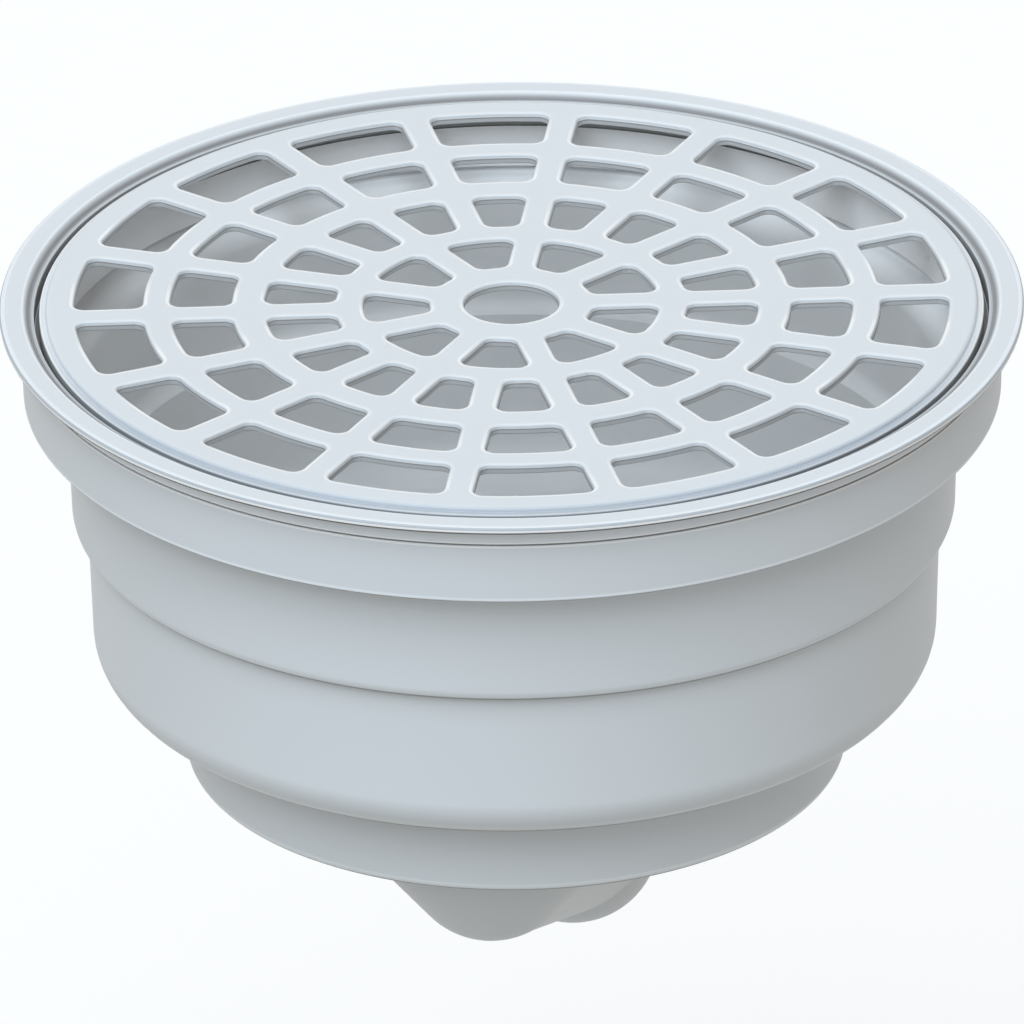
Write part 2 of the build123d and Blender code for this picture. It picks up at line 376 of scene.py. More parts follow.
# %% Frame ring
flange_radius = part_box("top_frame")[1].x / MM
spigot_foot = -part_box("top_frame")[0].z / MM
collar_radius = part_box("bowl")[1].x / MM
collar_depth = -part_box("bowl")[1].z / MM
grating_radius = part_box("grating")[1].x / MM
grating_depth = -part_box("grating")[0].z / MM
flange_thickness = 1.6
bore_radius = grating_radius + 1.0
ledge_radius = bore_radius + 1.1
mouth_radius = ledge_radius + 1.0
ledge_depth = 1.2
spigot_radius = collar_radius - 3.1
spigot_bore = spigot_radius - 2.7
groove_height, groove_depth = 0.35, 0.8
groove_radius = collar_radius - groove_depth
lip_round, under_lip_round, mouth_round = 0.6, 0.65, 0.5
groove_round, seat_round, foot_edge_round = 0.15, 0.3, 0.4
ledge_edge_round, ledge_inner_round = 0.3, 0.25

# The tones paint highlights on the lip, the flange's top edge, the mouth's edge, the collar's foot and
# the spigot's foot, and paint shade under the flange, in the groove, on the slope and the ledge, down the
# bore and on the spigot's foot. The collar's wall is painted lighter where the flange shades it. The
# painted grey of the slope and the ledge deepens in steps towards the corner between them.
slope_foot, ledge_middle = ledge_radius + 0.05, ledge_radius - 0.4
frame_zones = [
    (flange_radius - 0.3, flange_radius + 1,
     [(-1.65, dark_shade), (-1.15, dark_shade), (-1.0, strong_highlight), (-0.65, strong_highlight),
      (-0.55, faint_shade), (-0.12, faint_shade), (-0.05, plain)]),
    (flange_radius - 1.1, flange_radius - 0.3, [(-1.65, dark_shade), (-0.5, dark_shade), (-0.12, soft_highlight), (0, soft_highlight)]),
    (flange_radius - 2.4, flange_radius - 1.1, [(-1.65, dark_shade), (-1.5, dark_shade), (-1.4, plain)]),
    (groove_radius + 0.1, flange_radius - 2.5,
     [(-5.95, dark_shade), (-5.53, dark_shade), (-5.5, strong_highlight), (-5.25, strong_highlight), (-5.1, (1.1, 1.1, 1.11)),
      (-flange_thickness, (1.1, 1.1, 1.11)), (-1.3, plain)]),
    (mouth_radius, mouth_radius + 0.45, [(-0.2, plain), (-0.1, soft_highlight), (0, soft_highlight)]),
    (groove_radius - 0.2, groove_radius + 0.1, [(-5.95, dark_shade), (-5.5, dark_shade), (-5.1, plain)]),
    (slope_foot, mouth_radius,
     [(-1.15, deep_shade), (-0.95, deep_shade), (-0.6, (0.6, 0.59, 0.59)), (-0.3, (0.85, 0.85, 0.85)), (-0.1, plain)]),
    (ledge_middle, slope_foot, [(-1.3, deep_shade), (-1.0, deep_shade)]),
    (bore_radius + 0.3, ledge_middle, [(-1.3, shaded), (-1.0, shaded)]),
    (bore_radius - 0.05, bore_radius + 0.3,
     [(-5.1, mid_shade), (-1.5, crease_shade), (-1.3, (0.8, 0.8, 0.8)), (-1.1, (0.8, 0.8, 0.8))]),
    (spigot_bore - 0.1, spigot_radius + 0.15, [(-5.06, strong_highlight), (-5.03, mid_shade), (-4.9, mid_shade)]),
]
frame_corners = [
    (mouth_radius, 0, mouth_round), (flange_radius, 0, lip_round),
    (flange_radius, -flange_thickness, under_lip_round), (collar_radius, -flange_thickness, foot_edge_round),
    (collar_radius, groove_height - collar_depth, groove_round),
    (groove_radius, groove_height - collar_depth, groove_round), (groove_radius, -collar_depth, 0),
    (spigot_radius, -collar_depth, 0),
    (spigot_radius, -spigot_foot, seat_round), (spigot_bore, -spigot_foot, foot_edge_round),
    (spigot_bore, -grating_depth, 0), (bore_radius, -grating_depth, 0),
    (bore_radius, -ledge_depth, ledge_inner_round), (ledge_radius, -ledge_depth, ledge_edge_round),
]
frame_plastic = satin_plastic("frame_plastic", (0.79, 0.82, 0.85), 0.40, frame_zones)
frame_ring = finish_piece(spin_round(rounded_outline(frame_corners)), "frame_ring", ["top_frame"],
                          frame_plastic)


# %% [markdown]
# The grating is a plate with 63 slots and a centre hole, and a skirt round its rim. A slot's outline is
# two ring arcs, two sides parallel to the spokes, and four corner arcs. Each arc is a spun point, so the
# outline is exact at any size, and a slot that is a little larger in every direction is the same chain of
# spins with more growth. A stack of such outlines, from wide at the top face to narrow one radius below,
# is the rounded rim that catches the light. One slot per ring is made and then spun round as copies.

# %% Slot outline
spoke_width = 5.7
corner_radius = 2.2
ARC_STEPS = 10
CORNER_STEPS = 6


def sweep_point(bm, point, centre, angle, steps, axis=(0, 0, 1)):
    """Spin one vertex about an axis through the centre, and return the vertex where it ends."""
    swept = bmesh.ops.spin(bm, geom=[point], cent=centre, axis=axis, angle=angle, steps=steps,
                           use_merge=False)
    return next(g for g in swept["geom_last"] if isinstance(g, bmesh.types.BMVert))


def polar(radius, angle, height):
    """A point given by its radius and its angle about Z."""
    return Vector((radius * cos(angle), radius * sin(angle), height))


def slot_outline(bm, inner, outer, half_pitch, growth, height):
    """One closed slot outline about +X, larger all round by the growth. Returns its edges."""
    bar = spoke_width / 2 - growth
    corner = corner_radius + growth
    inner, outer = inner - growth, outer + growth
    far_angle = half_pitch - asin((bar + corner) / (outer - corner))
    near_angle = half_pitch - asin((bar + corner) / (inner + corner))
    side = half_pitch + pi / 2
    known = set(bm.edges)
    start = bm.verts.new(polar(outer, -far_angle, height))
    end = sweep_point(bm, start, (0, 0, 0), 2 * far_angle, ARC_STEPS)
    end = sweep_point(bm, end, polar(outer - corner, far_angle, 0), side - far_angle, CORNER_STEPS)
    turn = bm.verts.new(polar(inner + corner, near_angle, height) + polar(corner, side, 0))
    bm.edges.new((end, turn))
    end = sweep_point(bm, turn, polar(inner + corner, near_angle, 0), near_angle + pi - side, CORNER_STEPS)
    end = sweep_point(bm, end, (0, 0, 0), -2 * near_angle, ARC_STEPS)
    end = sweep_point(bm, end, polar(inner + corner, -near_angle, 0), near_angle + pi - side, CORNER_STEPS)
    turn = bm.verts.new(polar(outer - corner, -far_angle, height) + polar(corner, -side, 0))
    bm.edges.new((end, turn))
    end = sweep_point(bm, turn, polar(outer - corner, -far_angle, 0), side - far_angle, CORNER_STEPS)
    bmesh.ops.pointmerge(bm, verts=[start, end], merge_co=start.co)
    return [edge for edge in bm.edges if edge not in known]


def round_outline(bm, radius, growth, height):
    """The centre hole's outline, larger all round by the growth. Returns its edges."""
    return level_circle(bm, radius + growth, height, segments=4 * ARC_STEPS)


# %% [markdown]
# On the real plate every hole has a small round at its rim. The plastic beside it gets a painted
# highlight, in a wide line on one side and a fine one elsewhere. The wall of a hole is therefore a stack
# of outlines: three on the flat top carry the painted line and its end, six make the round, and the last
# two lead down to a small bevel at the foot. Each outline's vertices first keep their growth, and the mark
# is worked out from it once the copies are in place. It grows with how far a vertex lies towards the side
# where the painted light is strongest, and the gains say how fast.

# %% Slot walls
plate_thickness = 2.0
rim_round = 0.55
foot_round = 0.2
RIM_LEVELS = 5
rim_band, rim_reach, rim_fade = 0.2, 0.55, 0.8
band_mark, band_gain = -0.8, 2.0
near_mark, near_gain, far_mark = 0.5, 1.5, 0.15
wall_levels = [(rim_round + rim_fade, 0), (rim_round + rim_reach, 0), (rim_round + rim_band, 0)]
for level in range(RIM_LEVELS + 1):
    tilt = pi / 2 * level / RIM_LEVELS
    wall_levels.append((rim_round * (1 - sin(tilt)), -rim_round * (1 - cos(tilt))))
wall_levels += [(0, -plate_thickness + foot_round), (foot_round, -plate_thickness)]
print("levels in a slot's wall:", len(wall_levels))


def rim_highlight_mark(growth, place, middle):
    """How strong a rim's painted highlight is: a wide line on the hole's side towards the painted light
    side, else a fine one.
    """
    towards = (place - middle).normalized().dot(polar(1, painted_light_side, 0))
    if growth > rim_round + rim_reach or growth < rim_round / 2:
        return 0
    if growth > rim_round + rim_band:
        return min(1, max(0, band_mark + band_gain * towards))
    return min(1, max(far_mark, near_mark + near_gain * towards))


def pierce(make_outline, count, start_angle, ring_middle):
    """One hole's wall through the plate, copied round the centre as often as the ring has holes."""
    bm = bmesh.new()
    mark = bm.verts.layers.float.new(HIGHLIGHT_ATTRIBUTE)
    upper = None
    for growth, height in wall_levels:
        lower = make_outline(bm, growth, height)
        for vert in {vert for edge in lower for vert in edge.verts}:
            vert[mark] = growth
        if upper:
            bmesh.ops.bridge_loops(bm, edges=upper + lower)
        upper = lower
    bmesh.ops.rotate(bm, verts=bm.verts[:], cent=(0, 0, 0), matrix=Matrix.Rotation(start_angle, 3, "Z"))
    if count > 1:
        bmesh.ops.spin(bm, geom=bm.verts[:] + bm.edges[:] + bm.faces[:], cent=(0, 0, 0), axis=(0, 0, 1),
                       angle=2 * pi * (count - 1) / count, steps=count - 1, use_duplicate=True)
    pitch = 2 * pi / count
    for vert in bm.verts:
        step = round((atan2(vert.co.y, vert.co.x) - start_angle) / pitch)
        vert[mark] = rim_highlight_mark(vert[mark], vert.co, polar(ring_middle, start_angle + step * pitch, 0))
    return bm


# %% [markdown]
# The grating is then put together: the turned rim and skirt, the centre hole and the four rings of slots
# are separate sheets that end in open edges at the plate's top and bottom. Filling between all those
# edges gives the two flat faces, which is quicker and cleaner than cutting 64 holes with a Boolean.

# %% Grating
centre_hole_radius = 9.3
ring_bar_widths = [6.7, 5.5, 6.4, 5.4]
ring_slot_lengths = [12.9, 13.8, 12.0, 13.4]
ring_counts = [9, 18, 18, 18]
ring_starts = [radians(0), radians(10), radians(10), radians(10)]
plateau_radius = grating_radius - 1.2
rim_drop = 1.0
skirt_bore = grating_radius - 2.0
rim_shoulder_round, rim_corner_round, skirt_round = 0.8, 0.4, 0.3

# painted shade for the slots' walls and for the rim's shoulder
slot_line_shade, slot_shade, slot_foot_shade = (0.4, 0.39, 0.38), (0.68, 0.67, 0.66), (0.45, 0.44, 0.43)
slot_dip_shade, ledge_shade = (0.86, 0.86, 0.87), (0.66, 0.69, 0.73)
plate_edge, rim_edge = plateau_radius - 0.8, grating_radius + 0.8
# painted highlight and shade down each slot's wall, painted shade at the skirt's foot, painted grey on the
# rim's shoulder towards the camera, and a painted highlight on the rim's edge
grating_zones = [
    (0, plate_edge,
     [(-grating_depth, slot_foot_shade), (-1.95, slot_foot_shade), (-1.75, slot_shade), (-1.2, slot_shade),
      (-1.0, slot_line_shade), (-0.9, slot_line_shade), (-0.78, soft_highlight), (-0.62, soft_highlight),
      (-0.5, slot_dip_shade), (-0.25, slot_dip_shade), (-0.12, plain)]),
    (plate_edge, rim_edge, [(-grating_depth, mid_shade), (-1.4, crease_shade), (-1.15, plain), (-0.03, plain)]),
    (plate_edge, rim_edge, [(-1.3, ledge_shade), (-0.85, ledge_shade), (-0.5, (0.72, 0.75, 0.79)),
                            (-0.08, (0.85, 0.87, 0.9)), (-0.01, plain)], painted_light_side),
    (grating_radius - 0.35, grating_radius + 0.1, [(-1.5, plain), (-1.3, strong_highlight), (-0.9, strong_highlight)]),
]
grating_plastic = satin_plastic("grating_plastic", (0.79, 0.82, 0.85), 0.45, grating_zones)


def join_into(target, addition):
    """Copy one bmesh into another and free it."""
    mesh = bpy.data.meshes.new("joined")
    addition.to_mesh(mesh)
    addition.free()
    target.from_mesh(mesh)
    bpy.data.meshes.remove(mesh)


def grating_rim():
    """The turned rim and skirt, open towards the centre at the plate's top and bottom."""
    bm = rounded_outline([
        (0, 0, 0), (plateau_radius, 0, rim_shoulder_round), (plateau_radius, -rim_drop, skirt_round),
        (grating_radius, -rim_drop, rim_corner_round), (grating_radius, -grating_depth, skirt_round),
        (skirt_bore, -grating_depth, skirt_round), (skirt_bore, -plate_thickness, rim_corner_round),
        (0, -plate_thickness, 0),
    ])
    axis_points = [vert for vert in bm.verts if vert.co.x < MERGE_DISTANCE]
    bmesh.ops.delete(bm, geom=bm.faces[:], context="FACES_ONLY")
    bmesh.ops.delete(bm, geom=axis_points, context="VERTS")
    return spin_round(bm)


def make_grating():
    """Rim, centre hole and four rings of slots, joined by a flat top and a flat underside."""
    bm = grating_rim()
    bm.verts.layers.float.new(HIGHLIGHT_ATTRIBUTE)
    join_into(bm, pierce(lambda b, g, z: round_outline(b, centre_hole_radius, g, z), 1, 0, 0))
    outer = centre_hole_radius
    for bar, length, count, start in zip(ring_bar_widths, ring_slot_lengths, ring_counts, ring_starts):
        inner = outer + bar
        outer = inner + length
        join_into(bm, pierce(
            lambda b, g, z: slot_outline(b, inner, outer, pi / count, g, z), count, start,
            (inner + outer) / 2))
    for height in (0, -plate_thickness):
        rims = open_edges_at(bm, height)
        bmesh.ops.triangle_fill(bm, edges=rims, use_beauty=True, use_dissolve=False)
        print("plate face at", height, "mm filled between", len(rims), "edges")
    return finish_piece(bm, "grating_cover", ["grating"], grating_plastic)


grating_cover = make_grating()


# %% [markdown]
# The bowl is a thin-walled moulding with four bands, each a little narrower towards its foot so that it
# leaves the mould. Outside and inside together are one outline that stays open only at the floor, so the
# wall keeps its thickness round the steps.

# %% Bowl
bowl_wall = 3.0
draft = tan(radians(2.0))
band_1_foot, band_2_foot, band_3_foot = 18.4, 44.7, 77.7
band_4_foot = 96.9
band_2_radius, band_3_radius, band_4_radius = 87.2, 83.4, 65.2
tail_offset = 17.4
tail_radius, tail_bore = 24.0, 21.4
tail_foot = -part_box("bowl")[0].z / MM
tail_root_round, tail_edge_round = 0.5, 0.4
floor_shade_radius = 50.0
outside_rounds = [0.25, 0.7, 0.8, 2.7, 0.6, 9.2, 0.8, 2.5]
inside_rounds = [0.4, 3.0, 4.5, 3.0, 3.0, 8.0, 3.0, 2.0]
floor_edge = tail_offset + tail_radius + 4.0
print("bowl's mouth radius, floor depth, tailpiece depth, mm:",
      [round(size, 2) for size in (collar_radius, band_4_foot, tail_foot)])


def band_foot_radius(radius, top, foot):
    """Radius at a band's foot, drawn in by the mould's draft."""
    return radius - (foot - top) * draft


def bowl_side(inset, first_foot_radius, rounds):
    """Corners of the bowl's side from the mouth down to the edge of its floor, with their rounds."""
    return [(radius - inset, height, rounding) for (radius, height), rounding in zip([
        (collar_radius, -collar_depth),
        (first_foot_radius + inset, inset - band_1_foot), (band_2_radius, inset - band_1_foot),
        (band_foot_radius(band_2_radius, band_1_foot, band_2_foot), inset - band_2_foot),
        (band_3_radius, inset - band_2_foot),
        (band_foot_radius(band_3_radius, band_2_foot, band_3_foot), inset - band_3_foot),
        (band_4_radius, inset - band_3_foot),
        (band_foot_radius(band_4_radius, band_3_foot, band_4_foot), inset - band_4_foot),
    ], rounds)]


# %% [markdown]
# Painted shade lies under each band's foot, and a painted highlight on the edge just above it, which
# draws the fine double line under each step of the bowl. The faces inside the bowl that look up get a
# paler copy of the plastic, which paints light on them.

# %% Bowl plastic
def foot_tones(foot, edge, line, line_top, line_tone):
    """Painted shade under a band's foot round, a painted highlight line above it, and plain plastic above
    that.
    """
    return [(foot - 1, mid_shade), (foot + edge, mid_shade), (foot + line, line_tone),
            (foot + line_top, line_tone), (foot + 1.2 * line_top, plain)]


# painted shade and highlight at each band's foot, and at the mouth painted shade in the joint with a painted
# highlight below it
bowl_zones = [
    (spigot_bore - 0.1, collar_radius + 1.1,
     foot_tones(-band_1_foot, 0.3, 0.42, 0.95, (1.17, 1.17, 1.18))
     + [(-6.4, plain), (-6.28, strong_highlight), (-6.0, strong_highlight), (-5.94, dark_shade), (-collar_depth, dark_shade)]),
    (band_3_radius + 0.2, spigot_bore - 0.1,
     foot_tones(-band_2_foot, 0.85, 1.05, 1.6, (1.08, 1.08, 1.08))),
    (band_4_radius + 0.8, band_3_radius + 0.1, foot_tones(-band_3_foot, 1.9, 2.2, 3.1, (1.1, 1.1, 1.1))),
    (floor_shade_radius, band_4_radius + 0.4, foot_tones(-band_4_foot, 0.8, 1.0, 1.9, (1.2, 1.2, 1.2))),
]
bowl_plastic = satin_plastic("bowl_plastic", (0.76, 0.79, 0.82), 0.45, bowl_zones)
print("zones on the bowl:", len(bowl_zones))


# %% [markdown]
# The hole in the bowl's floor isn't in the middle, so the floor can't be turned. The turned wall ends in
# two circles. Each is extruded once more, drawn in and moved off the axis, which makes the floor's
# outside and inside. Rings with the same number of points are then bridged between them down and up the
# tailpiece, so that the floor stays in clean quads.

# %% Bowl floor and tailpiece
def drawn_in(bm, edges, factor, offset):
    """Extrude a level circle of edges, make it smaller and move it off the axis. Returns its edges."""
    verts, made = extrude_ring(bm, edges)
    bmesh.ops.scale(bm, verts=verts, vec=(factor, factor, 1))
    bmesh.ops.translate(bm, verts=verts, vec=(0, offset, 0))
    return made


def make_bowl():
    """The turned side, then the floor and the tailpiece, ring by ring."""
    outside = bowl_side(0, band_foot_radius(collar_radius, collar_depth, band_1_foot), outside_rounds)
    inside = bowl_side(bowl_wall, collar_radius - bowl_wall, inside_rounds)
    bm = rounded_outline([(floor_edge, -band_4_foot, 0)] + outside[::-1] + inside
                         + [(floor_edge, bowl_wall - band_4_foot, 0)])
    bmesh.ops.delete(bm, geom=bm.faces[:], context="FACES_ONLY")
    stubs = [vert for vert in bm.verts if abs(vert.co.x - floor_edge) < MERGE_DISTANCE]
    bmesh.ops.delete(bm, geom=stubs, context="VERTS")
    spin_round(bm)
    root, bore_root = tail_radius + tail_root_round, tail_bore + tail_root_round
    inner_floor = bowl_wall - band_4_foot
    rings = [
        drawn_in(bm, open_edges_at(bm, -band_4_foot), root / floor_edge, -tail_offset),
        level_circle(bm, tail_radius, -band_4_foot - tail_root_round, -tail_offset),
        level_circle(bm, tail_radius, -tail_foot + tail_edge_round, -tail_offset),
        level_circle(bm, tail_radius - tail_edge_round, -tail_foot, -tail_offset),
        level_circle(bm, tail_bore, -tail_foot, -tail_offset),
        level_circle(bm, tail_bore, inner_floor - tail_root_round, -tail_offset),
        drawn_in(bm, open_edges_at(bm, inner_floor), bore_root / floor_edge, -tail_offset),
    ]
    for upper, lower in zip(rings, rings[1:]):
        bmesh.ops.bridge_loops(bm, edges=upper + lower)
    return finish_piece(bm, "bowl_shell", ["bowl"], bowl_plastic, brightened_inside_plastic)


bowl_shell = make_bowl()


# %% [markdown]
# The trap bend under the bowl is a funnel with a round nose, a sloping neck, a heel and a level run. Its
# parts meet at odd angles, so it is made as a moulder would see it: a few plain solids are united for
# the outside, the same solids drawn in by the wall are the waterway, and one is cut from the other. The
# exact solver is used, and one ball is a tenth of a millimetre larger than the neck it ends, because
# surfaces that only touch would leave slivers.

# %% Boolean helpers
TUBE_STEPS = 96


def solid(bm, name):
    """Put a bmesh in a plain object that a Boolean can use."""
    bmesh.ops.recalc_face_normals(bm, faces=bm.faces[:])
    mesh = bpy.data.meshes.new(name)
    bm.to_mesh(mesh)
    bm.free()
    piece = bpy.data.objects.new(name, mesh)
    bpy.context.collection.objects.link(piece)
    return piece


def combine(base, tool, operation):
    """Unite two solids or cut one from the other, and drop the tool."""
    cut = base.modifiers.new("combine", "BOOLEAN")
    cut.operation = operation
    cut.solver = "EXACT"
    cut.object = tool
    result = bpy.data.meshes.new_from_object(base.evaluated_get(bpy.context.evaluated_depsgraph_get()))
    base.modifiers.clear()
    base.data = result
    bpy.data.objects.remove(tool)
    return base


def round_bar(start, end, radius):
    """A closed cylinder between two points."""
    start, end = Vector(start), Vector(end)
    bm = bmesh.new()
    turned = (end - start).to_track_quat("Z", "Y").to_matrix().to_4x4()
    bmesh.ops.create_cone(bm, cap_ends=True, segments=TUBE_STEPS, radius1=radius, radius2=radius,
                          depth=(end - start).length, matrix=Matrix.Translation((start + end) / 2) @ turned)
    return solid(bm, "bar")


def ball(centre, radius):
    """A closed sphere."""
    bm = bmesh.new()
    bmesh.ops.create_uvsphere(bm, u_segments=TUBE_STEPS, v_segments=TUBE_STEPS // 2, radius=radius,
                              matrix=Matrix.Translation(centre))
    return solid(bm, "ball")


# %% [markdown]
# The picture shows the lowest part of the bend: the funnel's straight flanks running into a round nose, the
# neck that falls to the right, and the ball of the heel. Those sizes are measured on it. The run and
# the socket for the tailpiece are hidden and follow from the tube's size. The waterway reaches a little
# beyond both ends, so that it cuts through them cleanly.

# %% Trap bend
tube_radius, tube_wall = 17.0, 2.8
nose_radius = 17.2
funnel_slope = radians(39.4)
socket_radius, socket_bore = 27.0, 24.1
joint_gap = 0.1
overlap, overshoot = 1.0, 5.0
neck_swell = 0.1
NOSE_STEPS = 16
shoulder_depth = tail_foot + joint_gap
heel_depth = -(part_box("trap_bend")[0].z / MM) - nose_radius
neck_end_y = 36.8
neck_end_depth = heel_depth - 2.6
nose_depth = neck_end_depth - 19.7
run_end_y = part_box("trap_bend")[1].y / MM


def funnel(inset, top_depth):
    """The round-nosed funnel: a spun arc for the nose, then the cone and the collar, turned about Z."""
    radius = nose_radius - inset
    touch = (radius * cos(funnel_slope), -nose_depth - radius * sin(funnel_slope))
    rim_radius = socket_radius - inset / cos(funnel_slope)
    rim_depth = -touch[1] - (rim_radius - touch[0]) / tan(funnel_slope)
    bm = bmesh.new()
    pole = bm.verts.new((0, 0, -nose_depth - radius))
    last = sweep_point(bm, pole, (0, 0, -nose_depth), pi / 2 - funnel_slope, NOSE_STEPS, axis=(0, -1, 0))
    for corner in ((rim_radius, -rim_depth), (rim_radius, -top_depth), (0, -top_depth)):
        vert = bm.verts.new((corner[0], 0, corner[1]))
        bm.edges.new((last, vert))
        last = vert
    spin_round(bm, 2 * TUBE_STEPS)
    bmesh.ops.translate(bm, verts=bm.verts[:], vec=(0, -tail_offset, 0))
    return solid(bm, "funnel")


def passage(inset, top_depth, run_end):
    """Funnel, neck, heel and run as one solid, drawn in by the inset."""
    radius = tube_radius - inset
    whole = funnel(inset, top_depth)
    heel = (0, neck_end_y, -heel_depth)
    neck_end = (0, neck_end_y, -neck_end_depth)
    combine(whole, round_bar((0, -tail_offset, -nose_depth), neck_end, radius), "UNION")
    combine(whole, ball(neck_end, radius + neck_swell), "UNION")
    combine(whole, ball(heel, nose_radius - inset), "UNION")
    return combine(whole, round_bar(heel, (0, run_end, -heel_depth), radius), "UNION")


def make_trap_bend():
    """The outside less the waterway and less the socket that takes the bowl's tailpiece."""
    outside = passage(0, band_4_foot, run_end_y)
    combine(outside, round_bar((0, -tail_offset, -shoulder_depth),
                               (0, -tail_offset, -band_4_foot + overshoot), socket_bore), "DIFFERENCE")
    combine(outside, passage(tube_wall, shoulder_depth - overlap, run_end_y + overshoot), "DIFFERENCE")
    bm = bmesh.new()
    bm.from_mesh(outside.data)
    bmesh.ops.remove_doubles(bm, verts=bm.verts[:], dist=MERGE_DISTANCE)
    bmesh.ops.dissolve_degenerate(bm, dist=MERGE_DISTANCE, edges=bm.edges[:])
    bpy.data.objects.remove(outside)
    return finish_piece(bm, "trap_elbow", ["trap_bend"], bend_plastic)


trap_elbow = make_trap_bend()


# %% [markdown]
# The outlet bend is a pipe fitting: a socket on the trap's run, a quarter bend up, a short riser, a quarter
# bend back to level and a socket for the waste pipe. It is drawn the way a pipe runs: one ring of edges
# is extruded along the outside, spun through each bend, turned in over the rim, taken back along
# the inside and bridged to where it started.

# %% Outlet bend
bend_radius = 24.0
outlet_nodes = ["foot_bend", "riser", "outlet_bend", "pipe_socket"]
riser_y = (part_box("riser")[0].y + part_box("riser")[1].y) / 2 / MM
run_socket_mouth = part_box("foot_bend")[0].y / MM
run_socket_radius, run_socket_bore = 19.9, 17.1
pipe_socket_radius, pipe_socket_bore = 19.0, 16.1
pipe_socket_length = 24.0
outlet_rise = 78.4
outlet_depth = heel_depth - outlet_rise
outlet_end_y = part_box("pipe_socket")[1].y / MM
rim = 0.6
flare_start, flare_length = 2.0, 4.0
BEND_STEPS = 20


class PipeRun:
    """A ring of edges that is extruded and spun along a pipe's path."""

    def __init__(self, y, depth, radius):
        self.bm = bmesh.new()
        self.centre = Vector((0, y, -depth))
        place = Matrix.Translation(self.centre) @ Matrix.Rotation(pi / 2, 4, "X")
        bmesh.ops.create_circle(self.bm, segments=TUBE_STEPS, radius=radius, matrix=place)
        self.ring = self.bm.edges[:]
        self.first = self.ring
        self.radius = radius

    def step(self, move=(0, 0, 0), radius=None):
        """Extrude the ring, move it on and give it a new radius."""
        verts, self.ring = extrude_ring(self.bm, self.ring)
        bmesh.ops.translate(self.bm, verts=verts, vec=move)
        self.centre += Vector(move)
        if radius:
            factor = radius / self.radius
            bmesh.ops.scale(self.bm, verts=verts, vec=(factor,) * 3, space=Matrix.Translation(-self.centre))
            self.radius = radius

    def bend(self, pivot, angle):
        """Spin the ring about a pivot across the pipe."""
        made = bmesh.ops.spin(self.bm, geom=self.ring, cent=pivot, axis=(1, 0, 0), angle=angle,
                              steps=BEND_STEPS, use_merge=False)["geom_last"]
        self.ring = [g for g in made if isinstance(g, bmesh.types.BMEdge)]
        self.centre = Matrix.Rotation(angle, 3, "X") @ (self.centre - Vector(pivot)) + Vector(pivot)

    def close(self):
        """Bridge the last ring to the first."""
        bmesh.ops.bridge_loops(self.bm, edges=self.ring + self.first)
        return self.bm


def make_outlet_bend():
    """Out along the outside, over the pipe socket's rim and back along the waterway."""
    low_y = riser_y - bend_radius
    low_pivot = (0, low_y, bend_radius - heel_depth)
    riser_length = heel_depth - outlet_depth - 2 * bend_radius
    high_y = riser_y + bend_radius
    high_pivot = (0, high_y, -outlet_depth - bend_radius)
    stop_y = outlet_end_y - pipe_socket_length
    run_stop_y = run_end_y + joint_gap
    run = PipeRun(run_socket_mouth, heel_depth, run_socket_radius - rim)
    run.step((0, rim, 0), run_socket_radius)
    run.step((0, low_y - run_socket_mouth - 2 * rim, 0))
    run.step((0, rim, 0), run_socket_radius - rim)
    run.step((0, 0, 0), tube_radius)
    run.bend(low_pivot, pi / 2)
    run.step((0, 0, riser_length))
    run.bend(high_pivot, -pi / 2)
    run.step((0, flare_start, 0))
    run.step((0, flare_length, 0), pipe_socket_radius)
    run.step((0, outlet_end_y - rim - high_y - flare_start - flare_length, 0))
    run.step((0, rim, 0), pipe_socket_radius - rim)
    run.step((0, 0, 0), pipe_socket_bore + rim)
    run.step((0, -rim, 0), pipe_socket_bore)
    run.step((0, rim - pipe_socket_length, 0))
    run.step((0, 0, 0), tube_radius - tube_wall)
    run.step((0, high_y - stop_y, 0))
    run.bend(high_pivot, pi / 2)
    run.step((0, 0, -riser_length))
    run.bend(low_pivot, -pi / 2)
    run.step((0, run_stop_y - low_y, 0))
    run.step((0, 0, 0), run_socket_bore)
    run.step((0, run_socket_mouth + rim - run_stop_y, 0))
    run.step((0, -rim, 0), run_socket_bore + rim)
    return finish_piece(run.close(), "outlet_pipe", outlet_nodes, bend_plastic)


outlet_pipe = make_outlet_bend()


# %% [markdown]
# The picture shows the object alone on white, so the floor lies well below it, where the camera doesn't
# see its shadow. The floor is a mid grey to the light that reaches the object from below, as in a studio
# sweep that is far away, and it is lifted to white for the camera and for reflections.

# %% Floor, world and lamps
floor_drop = 0.30
floor_reach = 60.0
floor_tone = (0.41, 0.39, 0.36)
floor_white = 1.04
sky_white = 1.04
sky_strength = 0.44
sky_colour = (1.0, 0.967, 0.912)
key_strength = 2.02
key_colour = (0.78, 0.90, 1.0)
key_azimuth, key_elevation, key_spread = radians(-6), radians(53), radians(50)
fill_strength = 0.25
fill_colour = (0.72, 0.87, 1.0)
fill_azimuth, fill_elevation, fill_spread = view_azimuth, radians(15), radians(40)


def seen_directly(tree):
    """A factor that is 1 for camera, glossy and transmission rays."""
    path = tree.nodes.new("ShaderNodeLightPath").outputs
    seen = add_math(tree, "MAXIMUM", path["Is Camera Ray"], path["Is Glossy Ray"])
    return add_math(tree, "MAXIMUM", seen, path["Is Transmission Ray"])


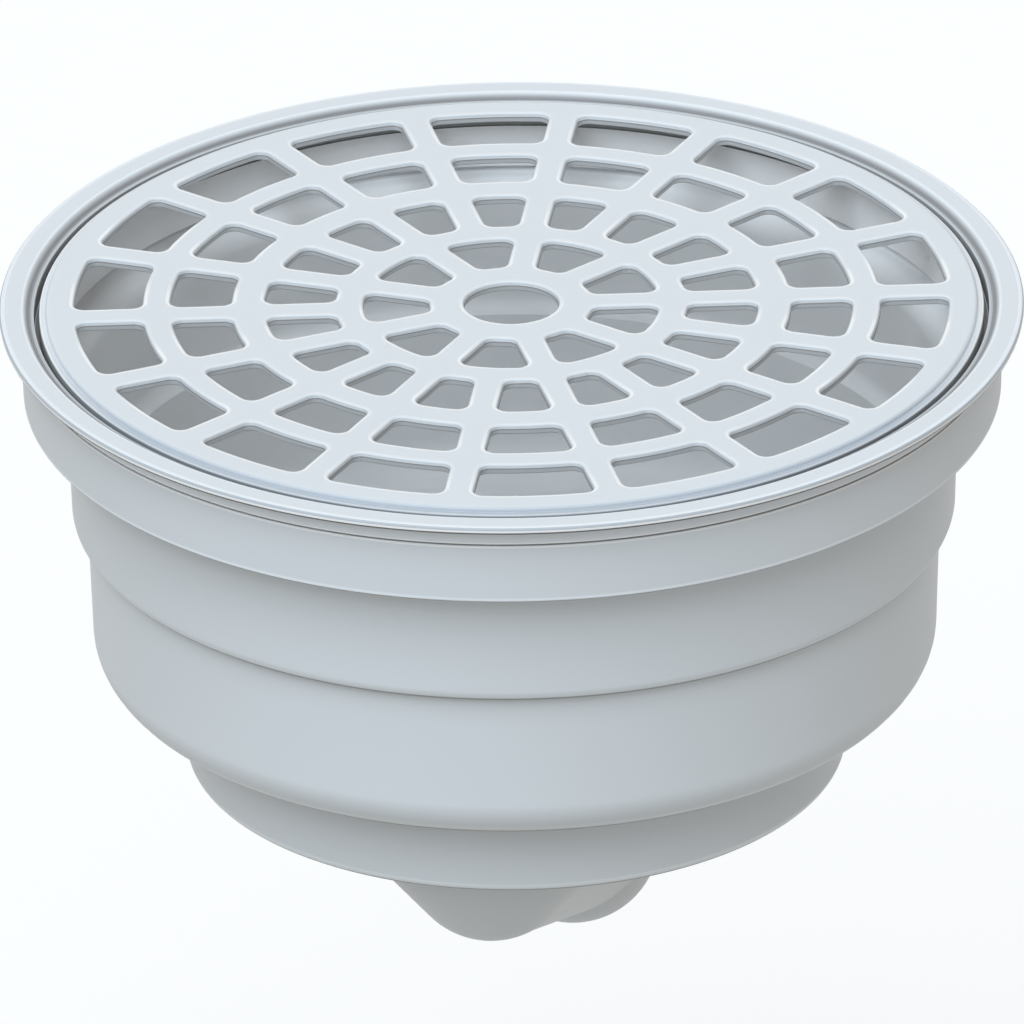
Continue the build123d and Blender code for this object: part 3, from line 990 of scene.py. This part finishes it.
def make_floor():
    """A wide plain floor, grey to diffuse light and lifted to white where it is seen."""
    bm = bmesh.new()
    bmesh.ops.create_grid(bm, x_segments=1, y_segments=1, size=floor_reach / 2,
                          matrix=Matrix.Translation((0, 0, -floor_drop)))
    mesh = bpy.data.meshes.new("floor")
    bm.to_mesh(mesh)
    bm.free()
    floor = bpy.data.objects.new("floor", mesh)
    bpy.context.collection.objects.link(floor)
    material = bpy.data.materials.new("floor_paper")
    material.use_nodes = True
    tree = material.node_tree
    shader = tree.nodes["Principled BSDF"]
    shader.inputs["Base Color"].default_value = (*floor_tone, 1)
    shader.inputs["Roughness"].default_value = 1.0
    shader.inputs["Specular IOR Level"].default_value = 0.0
    shader.inputs["Emission Color"].default_value = (*(floor_white - tone for tone in floor_tone), 1)
    tree.links.new(seen_directly(tree), shader.inputs["Emission Strength"])
    mesh.materials.append(material)
    return floor


def make_world():
    """Even sky light, white where it is seen."""
    world = bpy.data.worlds.new("sky")
    world.use_nodes = True
    nodes, links = world.node_tree.nodes, world.node_tree.links
    sky = nodes["Background"]
    sky.inputs["Color"].default_value = (*sky_colour, 1)
    sky.inputs["Strength"].default_value = sky_strength
    white = nodes.new("ShaderNodeBackground")
    white.inputs["Color"].default_value = (1, 1, 1, 1)
    white.inputs["Strength"].default_value = sky_white
    mix = nodes.new("ShaderNodeMixShader")
    links.new(seen_directly(world.node_tree), mix.inputs["Fac"])
    links.new(sky.outputs["Background"], mix.inputs[1])
    links.new(white.outputs["Background"], mix.inputs[2])
    links.new(mix.outputs["Shader"], nodes["World Output"].inputs["Surface"])
    bpy.context.scene.world = world
    return world


def make_lamp(name, azimuth, elevation, strength, colour, spread):
    """A distant lamp that shines from the given azimuth and elevation, softened by its spread."""
    data = bpy.data.lights.new(name, "SUN")
    data.energy = strength
    data.color = colour
    data.angle = spread
    lamp = bpy.data.objects.new(name, data)
    source = Vector((sin(azimuth) * cos(elevation), -cos(azimuth) * cos(elevation), sin(elevation)))
    lamp.matrix_world = source.to_track_quat("Z", "Y").to_matrix().to_4x4()
    bpy.context.collection.objects.link(lamp)
    return lamp


floor = make_floor()
world = make_world()
key = make_lamp("key", key_azimuth, key_elevation, key_strength, key_colour, key_spread)
fill = make_lamp("fill", fill_azimuth, fill_elevation, fill_strength, fill_colour, fill_spread)
print("floor at", -floor_drop, "m, lamps:", key.name, fill.name)

scene = bpy.context.scene
scene.view_settings.view_transform = "Standard"
